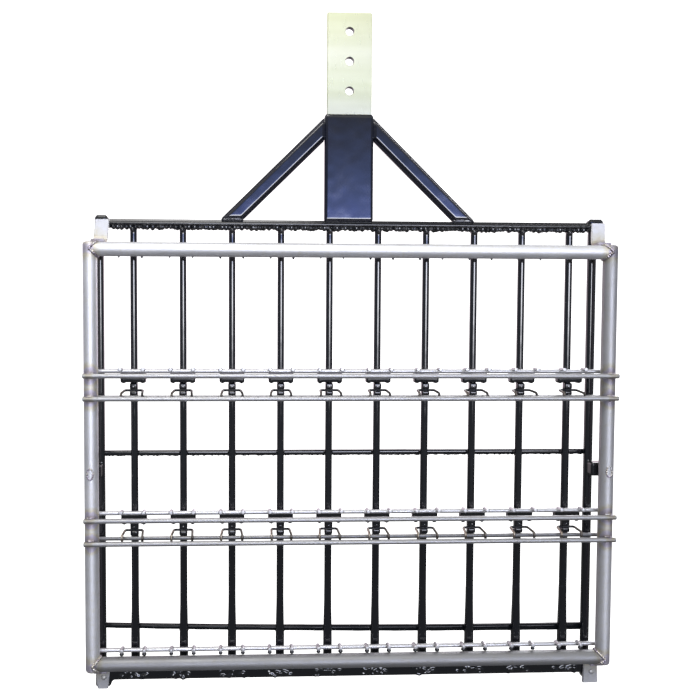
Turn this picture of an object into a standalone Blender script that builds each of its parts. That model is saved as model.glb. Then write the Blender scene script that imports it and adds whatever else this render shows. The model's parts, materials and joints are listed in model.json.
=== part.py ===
"""Plating rack: a dip-coated steel frame hung from a flat strap, with a welded bright frame bolted
to its front and twenty sprung wire contacts. Metres, +Z up, +X to the right, the front faces -Y.
The origin is on the back face of the hanger strap, midway between its two upper bolt holes."""

import math

import bmesh
import bpy
from mathutils import Matrix, Vector

GAP = 0.0003
SHARP_ANGLE = math.radians(35)

# Hanger strap and its coated spine
STRAP_WIDTH = 0.0514
STRAP_THICK = 0.006
STRAP_TOP = 0.038
HOLE_PITCH = 0.0333
HOLE_RADIUS = 0.00475
HOLE_SIDES = 24
STRAP_EDGE = 0.0006
COAT = 0.0017
SLEEVE_TOP = -0.0765
CORE_Y = -STRAP_THICK / 2

# Coated frame, front to back about CORE_Y
RAIL_DEPTH = 0.010
TOP_RAIL_TOP = -0.1971
TOP_RAIL_HEIGHT = 0.0089
TOP_RAIL_BASE = TOP_RAIL_TOP - TOP_RAIL_HEIGHT
MID_RAIL_Z = -0.4646
MID_RAIL_HEIGHT = 0.0052
LOWER_RAIL_Z = -0.6712
LOWER_RAIL_HEIGHTS = (0.0048, 0.0074)
LOWER_RAIL_FALL = 0.0086
BOTTOM_RAIL_TOP = -0.7115
BOTTOM_RAIL_BASE = -0.7270
CROSS_RAIL_DEPTH = 0.005
CROSS_RAIL_EDGE = 0.0010
GUSSET_FOOT = (0.1220, 0.1485)
GUSSET_RISE = 0.0250
GUSSET_EDGE = 0.0018
TOP_EAR_LEFT = (-0.2880, -0.2740)
TOP_EAR_RIGHT = (0.2802, 0.2968)
TOP_EAR_PROUD = (0.0042, 0.0012)
TOP_EAR_SLOPE = 0.0060
BOTTOM_EAR_LEFT = (-0.2905, -0.2745)
BOTTOM_EAR_RIGHT = (0.2840, 0.2985)
BOTTOM_EAR_PROUD = (0.0026, 0.0078)
BOTTOM_EAR_SLOPE = 0.0030
BAR_COUNT = 10
BAR_PITCH = 0.056
BAR_SHIFT = 0.0066
BAR_WIDTH = 0.0064
BAR_FOOT_WIDTH = 0.0076
FOOT_PROUD = 0.0004
FOOT_EDGE = 0.0010
SIDE_BAR_X = {-1: -0.2836, 1: 0.2858}
SIDE_BAR_WIDTH = 0.0080
LUG_Z = -0.4825
LUG_HEIGHT = 0.0150
LUG_OVERHANG = 0.0030
SHOE_DROP = (0.0015, 0.0122)
SHOE_DRIP = (0.0030, 0.0015)
SHOE_MARGIN = 0.0008
SHOE_INSET = 0.0010
EDGE = 0.0014
FINE_EDGE = 0.0012

# Bright frame
FRAME_SHIFT = 0.0030
FRAME_Y = -0.026
TUBE_RADIUS = 0.00795
TUBE_EDGE = 0.0022
TUBE_SIDES = 20
TUBE_X = 0.2928
TOP_TUBE_Z = -0.2333
BOTTOM_TUBE_Z = -0.6995
ROD_RADIUS = 0.0029
GUIDE_RADIUS = 0.0024
ROD_EDGE = 0.0007
ROD_SIDES = 10
ROD_HALF_LENGTH = 0.2995
ROD_Z = {"a": -0.3731, "b": -0.3984, "c": -0.5337, "d": -0.5595}
UPPER_GUIDE_Z = -0.3687
LOWER_GUIDE_Z = -0.5304
BOTTOM_GUIDE_Z = -0.6884
PEG_SPREAD = 0.0127
PEG_RADIUS = 0.0021
PEG_SIDES = 6
PEG_REACH = 0.0100
PEG_RAISE = 0.0022
TAB_WIDTH = 0.0158
TAB_THICK = 0.003
TABS = {
    "tab_top_left": (-0.2815, -0.1978, 1),
    "tab_top_right": (0.2893, -0.1978, 1),
    "tab_bottom_left": (-0.2819, -0.7356, -1),
    "tab_bottom_right": (0.2900, -0.7380, -1),
}
TAB_BEND = (0.0050, 0.0068)
TAB_EDGE = 0.0006

# Sprung contacts
WIRE_RADIUS = 0.00125
WIRE_Z = {"upper": -0.3910, "lower": -0.5520}
WIRE_HALF_WIDTH = 0.0103
TIP_SPREAD = 0.0116
LEG_REACH = 0.0160
LEG_FALL = 0.0030
TIP_DROP = 0.0080
BEND_RADIUS = 0.0022
SEAT_WIDTH = 0.0074
SEAT_HEIGHTS = (0.0062, 0.0042)

SLEEVE_HALF = STRAP_WIDTH / 2 + GAP + COAT
RAIL_FRONT = CORE_Y - RAIL_DEPTH / 2
BAR_FRONT = CORE_Y - BAR_WIDTH / 2
BAR_BACK = CORE_Y + BAR_WIDTH / 2
SIDE_BAR_BACK = CORE_Y + SIDE_BAR_WIDTH / 2
ROD_Y = FRAME_Y - TUBE_RADIUS - ROD_RADIUS - GAP
GUIDE_Y = FRAME_Y + TUBE_RADIUS + GUIDE_RADIUS + GAP
WIRE_Y = BAR_FRONT - GAP - WIRE_RADIUS


def clear_scene():
    for obj in list(bpy.data.objects):
        bpy.data.objects.remove(obj)


def make_material(name, colour, roughness, metallic):
    made = bpy.data.materials.new(name)
    made.use_nodes = True
    shader = made.node_tree.nodes["Principled BSDF"]
    shader.inputs["Base Color"].default_value = (*colour, 1)
    shader.inputs["Roughness"].default_value = roughness
    shader.inputs["Metallic"].default_value = metallic
    return made


def object_of(name, mesh, material):
    if material:
        mesh.materials.clear()
        mesh.materials.append(material)
    made = bpy.data.objects.new(name, mesh)
    bpy.context.scene.collection.objects.link(made)
    return made


def mesh_of(name, shape):
    bmesh.ops.recalc_face_normals(shape, faces=shape.faces)
    mesh = bpy.data.meshes.new(name)
    shape.to_mesh(mesh)
    shape.free()
    return mesh


def add_block(shape, low, high, edge=0.0, segments=1):
    """A box between two corners, with its edges rounded by `edge`."""
    low, high = Vector(low), Vector(high)
    place = Matrix.Translation((low + high) / 2) @ Matrix.Diagonal((*(high - low), 1))
    corners = bmesh.ops.create_cube(shape, size=1, matrix=place)["verts"]
    if edge:
        lines = {line for corner in corners for line in corner.link_edges}
        bmesh.ops.bevel(
            shape, geom=list(lines), offset=edge, segments=segments, affect="EDGES"
        )


def add_rod(shape, start, end, radius, sides, edge=0.0, segments=1):
    """A round rod between two points, with its end rims rounded by `edge`."""
    start, end = Vector(start), Vector(end)
    turn = (end - start).to_track_quat("Z", "Y").to_matrix().to_4x4()
    made = bmesh.ops.create_cone(
        shape,
        cap_ends=True,
        segments=sides,
        radius1=radius,
        radius2=radius,
        depth=(end - start).length,
        matrix=Matrix.Translation((start + end) / 2) @ turn,
    )["verts"]
    if edge:
        faces = {face for vert in made for face in vert.link_faces}
        rims = {line for face in faces if len(face.verts) == sides for line in face.edges}
        bmesh.ops.bevel(
            shape, geom=list(rims), offset=edge, segments=segments, affect="EDGES"
        )


def extrude_outline(shape, outline, offset, edge=0.0, segments=1):
    """A flat outline of points, pushed along `offset`, with its long edges rounded by `edge`."""
    face = shape.faces.new([shape.verts.new(point) for point in outline])
    grown = bmesh.ops.extrude_face_region(shape, geom=[face])["geom"]
    verts = [item for item in grown if isinstance(item, bmesh.types.BMVert)]
    bmesh.ops.translate(shape, verts=verts, vec=offset)
    if edge:
        lines = {line for vert in verts for line in vert.link_edges} | set(face.edges)
        bmesh.ops.bevel(
            shape, geom=list(lines), offset=edge, segments=segments, affect="EDGES"
        )


def fuse(base, others, operation="UNION"):
    """The base mesh after a Boolean with each of the others, as one new mesh."""
    body = object_of("body", base, None)
    tools = [object_of("tool", other, None) for other in others]
    for tool in tools:
        step = body.modifiers.new("step", "BOOLEAN")
        step.operation = operation
        step.solver = "EXACT"
        step.object = tool
    bpy.context.view_layer.update()
    graph = bpy.context.evaluated_depsgraph_get()
    result = bpy.data.meshes.new_from_object(body.evaluated_get(graph))
    for used in [body, *tools]:
        bpy.data.objects.remove(used)
    return result


def block_mesh(low, high, edge=0.0, segments=1):
    shape = bmesh.new()
    add_block(shape, low, high, edge, segments)
    return mesh_of("block", shape)


def outline_mesh(outline, offset, edge=0.0, segments=1):
    shape = bmesh.new()
    extrude_outline(shape, outline, offset, edge, segments)
    return mesh_of("outline", shape)


def rod_mesh(start, end, radius, sides, edge=0.0, segments=1):
    shape = bmesh.new()
    add_rod(shape, start, end, radius, sides, edge, segments)
    return mesh_of("rod", shape)


def smooth(obj):
    obj.data.shade_smooth()
    obj.data.set_sharp_from_angle(angle=SHARP_ANGLE)


def bar_places():
    middle = (BAR_COUNT - 1) / 2
    return [BAR_SHIFT + (index - middle) * BAR_PITCH for index in range(BAR_COUNT)]


def make_hanger(material):
    """The bare strap, with three bolt holes, that runs on down inside the spine."""
    foot = TOP_RAIL_TOP + GAP + COAT + GAP
    strap = block_mesh(
        (-STRAP_WIDTH / 2, -STRAP_THICK, foot), (STRAP_WIDTH / 2, 0, STRAP_TOP), STRAP_EDGE
    )
    holes = [
        rod_mesh(
            (0, -2 * STRAP_THICK, (0.5 - index) * HOLE_PITCH),
            (0, STRAP_THICK, (0.5 - index) * HOLE_PITCH),
            HOLE_RADIUS,
            HOLE_SIDES,
        )
        for index in range(3)
    ]
    object_of("hanger_strap", fuse(strap, holes, "DIFFERENCE"), material)


def make_spine(material):
    """The coating round the lower strap: a sleeve, open at the top and closed at the rail."""
    outer = block_mesh(
        (-SLEEVE_HALF, -STRAP_THICK - GAP - COAT, TOP_RAIL_TOP + GAP),
        (SLEEVE_HALF, GAP + COAT, SLEEVE_TOP),
        FINE_EDGE,
        2,
    )
    room = block_mesh(
        (-STRAP_WIDTH / 2 - GAP, -STRAP_THICK - GAP, TOP_RAIL_TOP + GAP + COAT),
        (STRAP_WIDTH / 2 + GAP, GAP, SLEEVE_TOP + STRAP_WIDTH),
    )
    object_of("spine_sleeve", fuse(outer, [room], "DIFFERENCE"), material)


def make_gussets(material):
    """The two slanting braces between the spine and the top rail, mirror images of each other."""
    foot_z = TOP_RAIL_TOP + GAP
    start_x = SLEEVE_HALF + GAP
    top_z = SLEEVE_TOP - FINE_EDGE
    outline = [
        (start_x, RAIL_FRONT, top_z),
        (GUSSET_FOOT[1], RAIL_FRONT, foot_z),
        (GUSSET_FOOT[0], RAIL_FRONT, foot_z),
        (start_x, RAIL_FRONT, top_z - GUSSET_RISE),
    ]
    right = outline_mesh(outline, (0, RAIL_DEPTH, 0), GUSSET_EDGE)
    left = right.copy()
    left.transform(Matrix.Diagonal((-1, 1, 1, 1)))
    left.flip_normals()
    object_of("gusset_right", right, material)
    object_of("gusset_left", left, material)


def rail_with_ears(ear_left, ear_right, top, base, ear_top, ear_base, slope):
    """A rail whose ends widen into the ears that carry the bright frame's tabs."""
    outline = [
        (ear_left[0], ear_top),
        (ear_left[1], ear_top),
        (ear_left[1] + slope, top),
        (ear_right[0] - slope, top),
        (ear_right[0], ear_top),
        (ear_right[1], ear_top),
        (ear_right[1], ear_base),
        (ear_right[0], ear_base),
        (ear_right[0] - slope, base),
        (ear_left[1] + slope, base),
        (ear_left[1], ear_base),
        (ear_left[0], ear_base),
    ]
    points = [(x, RAIL_FRONT, z) for x, z in outline]
    return outline_mesh(points, (0, RAIL_DEPTH, 0), FINE_EDGE, 2)


def make_top_rail(material):
    mesh = rail_with_ears(
        TOP_EAR_LEFT,
        TOP_EAR_RIGHT,
        TOP_RAIL_TOP,
        TOP_RAIL_BASE,
        TOP_RAIL_TOP + TOP_EAR_PROUD[0],
        TOP_RAIL_BASE - TOP_EAR_PROUD[1],
        TOP_EAR_SLOPE,
    )
    object_of("top_rail", mesh, material)


def make_bottom_rail(material):
    mesh = rail_with_ears(
        BOTTOM_EAR_LEFT,
        BOTTOM_EAR_RIGHT,
        BOTTOM_RAIL_TOP,
        BOTTOM_RAIL_BASE,
        BOTTOM_RAIL_TOP + BOTTOM_EAR_PROUD[0],
        BOTTOM_RAIL_BASE - BOTTOM_EAR_PROUD[1],
        BOTTOM_EAR_SLOPE,
    )
    object_of("bottom_rail", mesh, material)


def make_cross_rails(material):
    """The thin middle and lower rails, which pass behind all the bars; the lower one tapers."""
    left, right = (x + way * SIDE_BAR_WIDTH / 2 for way, x in SIDE_BAR_X.items())
    front = SIDE_BAR_BACK + GAP
    rails = (
        ("mid_rail", MID_RAIL_Z, (MID_RAIL_HEIGHT, MID_RAIL_HEIGHT), 0.0),
        ("lower_rail", LOWER_RAIL_Z, LOWER_RAIL_HEIGHTS, LOWER_RAIL_FALL),
    )
    for name, z, (left_height, right_height), fall in rails:
        left_z, right_z = z + fall / 2, z - fall / 2
        outline = [
            (left, front, left_z + left_height / 2),
            (right, front, right_z + right_height / 2),
            (right, front, right_z - right_height / 2),
            (left, front, left_z - left_height / 2),
        ]
        mesh = outline_mesh(outline, (0, CROSS_RAIL_DEPTH, 0), CROSS_RAIL_EDGE, 2)
        object_of(name, mesh, material)


def make_side_bars(material):
    """The outer bars, each with a lug that reaches forward to the bright frame's tube."""
    half = SIDE_BAR_WIDTH / 2
    top = TOP_RAIL_BASE - TOP_EAR_PROUD[1] - GAP
    base = BOTTOM_RAIL_TOP + BOTTOM_EAR_PROUD[0] + GAP
    lug_front = FRAME_Y + TUBE_RADIUS + GAP
    for name, side in (("side_bar_left", -1), ("side_bar_right", 1)):
        x = SIDE_BAR_X[side]
        bar = block_mesh(
            (x - half, CORE_Y - half, base), (x + half, CORE_Y + half, top), EDGE, 2
        )
        tube_x = FRAME_SHIFT + side * TUBE_X
        ends = (x - side * half / 2, tube_x + side * LUG_OVERHANG)
        lug = block_mesh(
            (min(ends), lug_front, LUG_Z - LUG_HEIGHT / 2),
            (max(ends), CORE_Y, LUG_Z + LUG_HEIGHT / 2),
            FINE_EDGE,
            2,
        )
        object_of(name, fuse(bar, [lug]), material)


def bar_mesh():
    """One upright bar about x = 0, with its two shoes for the guide rods and its wire seats."""
    half = BAR_WIDTH / 2
    foot_half = BAR_FOOT_WIDTH / 2
    foot_top = LOWER_RAIL_Z - max(LOWER_RAIL_HEIGHTS)
    bar = block_mesh(
        (-half, BAR_FRONT, BOTTOM_RAIL_TOP + GAP),
        (half, BAR_BACK, TOP_RAIL_BASE - GAP),
        EDGE,
        2,
    )
    foot = block_mesh(
        (-foot_half, BAR_FRONT - FOOT_PROUD, BOTTOM_RAIL_TOP + GAP),
        (foot_half, BAR_BACK + FOOT_PROUD, foot_top),
        FOOT_EDGE,
    )
    parts = [foot]
    for guide_z in (UPPER_GUIDE_Z, LOWER_GUIDE_Z):
        parts.append(shoe_mesh(guide_z))
    for wire_z in WIRE_Z.values():
        parts += seat_meshes(wire_z)
    return fuse(bar, parts)


def shoe_mesh(guide_z):
    """The cross piece that reaches forward from the bar to its guide rod, with a drip at each end."""
    front = GUIDE_Y + GUIDE_RADIUS + GAP
    wide = PEG_SPREAD + SHOE_MARGIN
    top = guide_z - SHOE_DROP[0]
    base = guide_z - SHOE_DROP[1]
    drip_x = wide - SHOE_DRIP[0]
    drip_z = base - SHOE_DRIP[1]
    right = [
        (wide, top),
        (wide, base),
        (drip_x, drip_z),
        (drip_x - SHOE_DRIP[1], base),
    ]
    left = [(-x, z) for x, z in reversed(right)]
    outline = [(x, front, z) for x, z in right + left]
    return outline_mesh(outline, (0, CORE_Y - SHOE_INSET - front, 0))


def seat_meshes(wire_z):
    """Two pads on the bar's front, above and below the wire, which keep it from sliding."""
    half = SEAT_WIDTH / 2
    clear = WIRE_RADIUS + GAP
    front = WIRE_Y - WIRE_RADIUS
    above, below = SEAT_HEIGHTS
    return [
        block_mesh((-half, front, wire_z + clear), (half, CORE_Y, wire_z + clear + above)),
        block_mesh((-half, front, wire_z - clear - below), (half, CORE_Y, wire_z - clear)),
    ]


def make_bars(material):
    mesh = bar_mesh()
    for index, x in enumerate(bar_places(), 1):
        bar = object_of(f"bar_{index:02d}", mesh, material)
        bar.location.x = x


def make_tubes(material):
    """The bright frame's four tubes: the uprights run past the ends of the level ones."""
    left = FRAME_SHIFT - TUBE_X
    right = FRAME_SHIFT + TUBE_X
    inner = TUBE_RADIUS + GAP
    top = TOP_TUBE_Z + TUBE_RADIUS
    base = BOTTOM_TUBE_Z - TUBE_RADIUS
    tubes = (
        ("side_tube_left", (left, base), (left, top)),
        ("side_tube_right", (right, base), (right, top)),
        ("top_tube", (left + inner, TOP_TUBE_Z), (right - inner, TOP_TUBE_Z)),
        ("bottom_tube", (left + inner, BOTTOM_TUBE_Z), (right - inner, BOTTOM_TUBE_Z)),
    )
    for name, (x1, z1), (x2, z2) in tubes:
        start, end = (x1, FRAME_Y, z1), (x2, FRAME_Y, z2)
        mesh = rod_mesh(start, end, TUBE_RADIUS, TUBE_SIDES, TUBE_EDGE, 2)
        smooth(object_of(name, mesh, material))


def make_retainer_rods(material):
    """The four rods across the front of the bright frame."""
    for letter, z in ROD_Z.items():
        start = (FRAME_SHIFT - ROD_HALF_LENGTH, ROD_Y, z)
        end = (FRAME_SHIFT + ROD_HALF_LENGTH, ROD_Y, z)
        mesh = rod_mesh(start, end, ROD_RADIUS, ROD_SIDES, ROD_EDGE)
        smooth(object_of(f"retainer_rod_{letter}", mesh, material))


def guide_rod(z):
    start = (FRAME_SHIFT - ROD_HALF_LENGTH, GUIDE_Y, z)
    end = (FRAME_SHIFT + ROD_HALF_LENGTH, GUIDE_Y, z)
    return rod_mesh(start, end, GUIDE_RADIUS, ROD_SIDES, ROD_EDGE)


def pegs_mesh(z):
    """A pair of pegs for each bar, reaching forward from the top of the guide rod."""
    shape = bmesh.new()
    height = z + PEG_RAISE
    for x in bar_places():
        for side in (-1, 1):
            peg_x = x + side * PEG_SPREAD
            start = (peg_x, GUIDE_Y + GUIDE_RADIUS / 2, height)
            end = (peg_x, GUIDE_Y - PEG_REACH, height)
            add_rod(shape, start, end, PEG_RADIUS, PEG_SIDES)
    return mesh_of("pegs", shape)


def make_guides(material):
    """The rods behind the bright frame: three carry pegs, and two are plain."""
    pegged = (
        ("upper_guide", UPPER_GUIDE_Z),
        ("lower_guide", LOWER_GUIDE_Z),
        ("bottom_guide", BOTTOM_GUIDE_Z),
    )
    for name, z in pegged:
        smooth(object_of(name, fuse(guide_rod(z), [pegs_mesh(z)]), material))
    for name, letter in (("upper_stop_rod", "b"), ("lower_stop_rod", "d")):
        smooth(object_of(name, guide_rod(ROD_Z[letter]), material))


def tab_outline(x, end, way):
    """A strap that lies on an ear and bends forward to meet a level tube; way is 1 at the top."""
    back = RAIL_FRONT - GAP
    front = back - TAB_THICK
    inner_bend, outer_bend = TAB_BEND
    tube_z = TOP_TUBE_Z if way > 0 else BOTTOM_TUBE_Z
    meet = tube_z + way * (TUBE_RADIUS + GAP)
    return [
        (x, back, end),
        (x, back, meet + way * inner_bend),
        (x, back - inner_bend, meet),
        (x, FRAME_Y, meet),
        (x, FRAME_Y, meet + way * TAB_THICK),
        (x, front - outer_bend + TAB_THICK, meet + way * TAB_THICK),
        (x, front, meet + way * outer_bend),
        (x, front, end),
    ]


def make_tabs(material):
    """The four corner tabs that are bolted to the coated ears."""
    for name, (x, end, way) in TABS.items():
        start = x - TAB_WIDTH / 2
        mesh = outline_mesh(tab_outline(start, end, way), (TAB_WIDTH, 0, 0), TAB_EDGE)
        object_of(name, mesh, material)


def rounded_path(corners, radius, steps=2):
    """The corners joined by straight runs, with each inner corner turned on an arc."""
    path = [corners[0]]
    for before, corner, after in zip(corners, corners[1:], corners[2:]):
        start = corner + (before - corner).normalized() * radius
        end = corner + (after - corner).normalized() * radius
        for step in range(steps + 1):
            share = step / steps
            first = start.lerp(corner, share)
            path.append(first.lerp(corner.lerp(end, share), share))
    path.append(corners[-1])
    return path


def contact_corners():
    """Half of the wire, from its middle out to one tip, about the joint's axis."""
    knee = Vector((TIP_SPREAD, -LEG_REACH, -LEG_FALL))
    return [
        Vector((WIRE_HALF_WIDTH, 0, 0)),
        knee,
        knee - Vector((0, 0, TIP_DROP)),
    ]


def contact_curve():
    """The bent wire: a level run across the bar, two legs forward, and two tips down."""
    right = contact_corners()
    left = [Vector((-point.x, point.y, point.z)) for point in reversed(right)]
    curve = bpy.data.curves.new("contact", "CURVE")
    curve.dimensions = "3D"
    curve.bevel_depth = WIRE_RADIUS
    curve.bevel_resolution = 1
    curve.use_fill_caps = True
    path = rounded_path([*left, *right], BEND_RADIUS)
    spline = curve.splines.new("POLY")
    spline.points.add(len(path) - 1)
    for target, point in zip(spline.points, path):
        target.co = (*point, 1)
    return curve


def make_contacts(material):
    curve = contact_curve()
    curve.materials.append(material)
    for level, z in WIRE_Z.items():
        for index, x in enumerate(bar_places(), 1):
            contact = bpy.data.objects.new(f"contact_{level}_{index:02d}", curve)
            contact.location = (x, WIRE_Y, z)
            bpy.context.scene.collection.objects.link(contact)


def main():
    clear_scene()
    tinned = make_material("tinned_strap", (0.72, 0.69, 0.60), 0.32, 1.0)
    coating = make_material("plastisol_coating", (0.012, 0.016, 0.035), 0.18, 0.0)
    bright = make_material("bright_steel", (0.66, 0.67, 0.69), 0.30, 1.0)
    bronze = make_material("contact_wire", (0.10, 0.07, 0.05), 0.40, 1.0)
    make_hanger(tinned)
    make_spine(coating)
    make_gussets(coating)
    make_top_rail(coating)
    make_bottom_rail(coating)
    make_cross_rails(coating)
    make_side_bars(coating)
    make_bars(coating)
    make_tubes(bright)
    make_retainer_rods(bright)
    make_guides(bright)
    make_tabs(bright)
    make_contacts(bronze)


main()
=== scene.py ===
"""The looks of the plating rack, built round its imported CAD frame. Metres, +Z up, front facing -Y."""

import json
import math
import random

import bmesh
import bpy
from mathutils import Matrix, Vector, noise


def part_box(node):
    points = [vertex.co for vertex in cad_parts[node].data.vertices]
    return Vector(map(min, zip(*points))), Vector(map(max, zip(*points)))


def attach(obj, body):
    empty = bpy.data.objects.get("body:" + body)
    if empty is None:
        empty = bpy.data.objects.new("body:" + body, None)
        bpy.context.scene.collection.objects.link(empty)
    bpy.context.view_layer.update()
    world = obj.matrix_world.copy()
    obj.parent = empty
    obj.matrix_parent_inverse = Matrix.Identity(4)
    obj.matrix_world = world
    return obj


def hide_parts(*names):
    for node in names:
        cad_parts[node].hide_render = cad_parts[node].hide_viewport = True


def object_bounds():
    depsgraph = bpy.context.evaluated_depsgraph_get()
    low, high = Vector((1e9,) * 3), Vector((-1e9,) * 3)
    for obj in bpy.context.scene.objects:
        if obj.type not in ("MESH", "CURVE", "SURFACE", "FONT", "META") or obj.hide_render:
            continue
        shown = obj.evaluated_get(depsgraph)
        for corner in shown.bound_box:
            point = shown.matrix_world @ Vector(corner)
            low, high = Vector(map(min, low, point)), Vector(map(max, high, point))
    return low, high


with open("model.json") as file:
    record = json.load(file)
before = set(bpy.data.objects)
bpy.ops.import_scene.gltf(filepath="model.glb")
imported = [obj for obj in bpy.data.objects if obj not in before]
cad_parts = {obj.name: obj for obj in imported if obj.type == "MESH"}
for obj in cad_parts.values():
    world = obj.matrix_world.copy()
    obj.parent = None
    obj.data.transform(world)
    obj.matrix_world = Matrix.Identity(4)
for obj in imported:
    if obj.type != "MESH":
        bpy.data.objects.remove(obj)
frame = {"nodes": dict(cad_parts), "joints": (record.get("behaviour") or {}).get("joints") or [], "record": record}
cad_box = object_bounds()

RACK = "rack"
BARS = [f"bar_{index:02d}" for index in range(1, 11)]
LEVELS = ("upper", "lower")
SIDES = (-1, 1)
MM = 0.001
CAD_GAP = 0.3 * MM


def middle(node, axis):
    """The middle of a node's box along one axis."""
    low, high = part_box(node)
    return (low[axis] + high[axis]) / 2


# Sizes that the frame states
bar_boxes = {name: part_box(name) for name in BARS}
bar_x = {name: middle(name, 0) for name in BARS}
joints = {joint["child"]: Vector(joint["pos_m"]) for joint in frame["joints"]}
wire_z = {level: joints[f"contact_{level}_01"].z for level in LEVELS}
wire_y = joints["contact_upper_01"].y
strap_low, strap_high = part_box("hanger_strap")
sleeve_low, sleeve_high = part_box("spine_sleeve")
rail_low, rail_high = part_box("top_rail")
core_y = (strap_low.y + strap_high.y) / 2
top_rail_base = bar_boxes["bar_01"][1].z + CAD_GAP
tube_low, tube_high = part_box("top_tube")
tube_radius = (tube_high.z - tube_low.z) / 2
tube_y = middle("top_tube", 1)
tube_front = tube_y - tube_radius
top_z = middle("top_tube", 2)
bottom_z = middle("bottom_tube", 2)
side_x = {-1: middle("side_tube_left", 0), 1: middle("side_tube_right", 0)}
tube_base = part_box("side_tube_left")[0].z
tube_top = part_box("side_tube_left")[1].z

# Sizes that the boxes alone don't give
SIDE_BAR_WIDTH = 8.0 * MM
GUSSET_INNER = 122 * MM
GUSSET_RISE = 25 * MM
TOP_EARS = (14.0 * MM, 16.6 * MM)
LOWER_RAIL_FALL = 8.6 * MM
LOWER_RAIL_SAG = 2.8 * MM
BOTTOM_EAR_FALL = 7.8 * MM
PEG_SPREAD = 12.7 * MM
PEG_RADIUS = 2.1 * MM
GUIDE_RADIUS = 2.4 * MM
TAB_THICK = 3 * MM
TAB_LEAN = 2.5 * MM
TAB_TAPER = 1.4
TAPER_START = 0.8
TAB_FLARE = 0.15
BOLT_RISE = 13.5 * MM
LUG_Z = -482.5 * MM
HOLE_RADIUS = 4.75 * MM
HOLE_CHAMFER = 0.3 * MM
WIRE_RADIUS = 1.4 * MM
WIRE_HALF = 10.3 * MM
WIRE_SPREAD = 11.6 * MM
WIRE_REACH = 16.0 * MM
WIRE_FALL = 3.0 * MM
WIRE_DEPTH = 11.0 * MM
WIRE_BEND = 2.8 * MM

FRONT_RODS = [f"retainer_rod_{letter}" for letter in "abcd"]
RODS = FRONT_RODS + ["upper_stop_rod", "lower_stop_rod"]
rod_z = [middle(node, 2) for node in FRONT_RODS]
crossings = [Vector((x, tube_front, z)) for x in side_x.values() for z in rod_z]
GUIDES = ["upper_guide", "lower_guide", "bottom_guide"]
TABS = ["tab_top_left", "tab_top_right", "tab_bottom_left", "tab_bottom_right"]


# -------- shader helpers


def feed(tree, node, inputs):
    """Sets a node's inputs; each value is a number, a colour or another node's output."""
    for name, value in inputs.items():
        if isinstance(value, bpy.types.NodeSocket):
            tree.links.new(value, node.inputs[name])
        else:
            node.inputs[name].default_value = value


def add(tree, kind, inputs=None, **settings):
    """Adds a node, with its settings and its inputs."""
    node = tree.nodes.new(kind)
    for name, value in settings.items():
        setattr(node, name, value)
    feed(tree, node, inputs or {})
    return node


def ramp(tree, factor, marks):
    """A colour ramp through (place, colour) marks."""
    node = add(tree, "ShaderNodeValToRGB", {"Fac": factor})
    band = node.color_ramp
    while len(band.elements) < len(marks):
        band.elements.new(0.5)
    for element, (place, colour) in zip(band.elements, marks):
        element.position = place
        element.color = (*colour, 1)
    return node.outputs["Color"]


def grey(value):
    return (value, value, value)


def combine(tree, operation, first, second):
    """One step of arithmetic on two numbers."""
    return add(tree, "ShaderNodeMath", {0: first, 1: second}, operation=operation).outputs[0]


def compare(tree, operation, first, second):
    """One number from two places or directions, such as the distance between them."""
    node = add(tree, "ShaderNodeVectorMath", {0: first, 1: second}, operation=operation)
    return node.outputs["Value"]


def remap(tree, value, low, high, to_low, to_high):
    """Maps the range low..high to the other range, and stops at its ends."""
    inputs = {"Value": value, "From Min": low, "From Max": high, "To Min": to_low, "To Max": to_high}
    return add(tree, "ShaderNodeMapRange", inputs).outputs["Result"]


def mix(tree, factor, first, second, blend="MIX"):
    """Mixes two colours. The node's colour sockets have only numbers to tell them apart."""
    pair = [(*value, 1) if isinstance(value, tuple) else value for value in (first, second)]
    inputs = {0: factor, 6: pair[0], 7: pair[1]}
    return add(tree, "ShaderNodeMix", inputs, data_type="RGBA", blend_type=blend).outputs[2]


def noise_of(tree, place, scale, detail=3.0, roughness=0.55):
    """Noise with features about 1 / scale metres wide."""
    inputs = {"Vector": place, "Scale": scale, "Detail": detail, "Roughness": roughness}
    return add(tree, "ShaderNodeTexNoise", inputs).outputs["Fac"]


def stretched(tree, place, factors):
    """The place scaled along each axis, so that noise in it draws out into lines."""
    node = add(tree, "ShaderNodeMapping", {"Vector": place, "Scale": factors})
    return node.outputs["Vector"]


def object_place(tree):
    return add(tree, "ShaderNodeTexCoord").outputs["Object"]


def height_of(tree, place):
    return add(tree, "ShaderNodeSeparateXYZ", {"Vector": place}).outputs["Z"]


def start_material(name):
    """A new material, its node tree and its main shader."""
    made = bpy.data.materials.new(name)
    made.use_nodes = True
    return made, made.node_tree, made.node_tree.nodes["Principled BSDF"]


def bump(tree, height, strength, distance):
    """A normal that lets a height in the surface catch the light, without moving the mesh."""
    inputs = {"Height": height, "Strength": strength, "Distance": distance}
    return add(tree, "ShaderNodeBump", inputs).outputs["Normal"]


# -------- materials

PLASTISOL_IOR = 1.52
GLOSS = (0.05, 0.12)
SHINE = 0.5
# Painted shade: the shaded tones and shine make a darker, less shiny copy of the coating for the lower rail, which
# sits in shadow
SHADED_SHINE = 0.12
COATING_TONES = ((0.003, 0.004, 0.007), (0.005, 0.006, 0.009))
SLEEVE_TONES = ((0.004, 0.005, 0.012), (0.006, 0.007, 0.017))
SHADED_TONES = ((0.003, 0.004, 0.006), (0.005, 0.006, 0.008))


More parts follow.
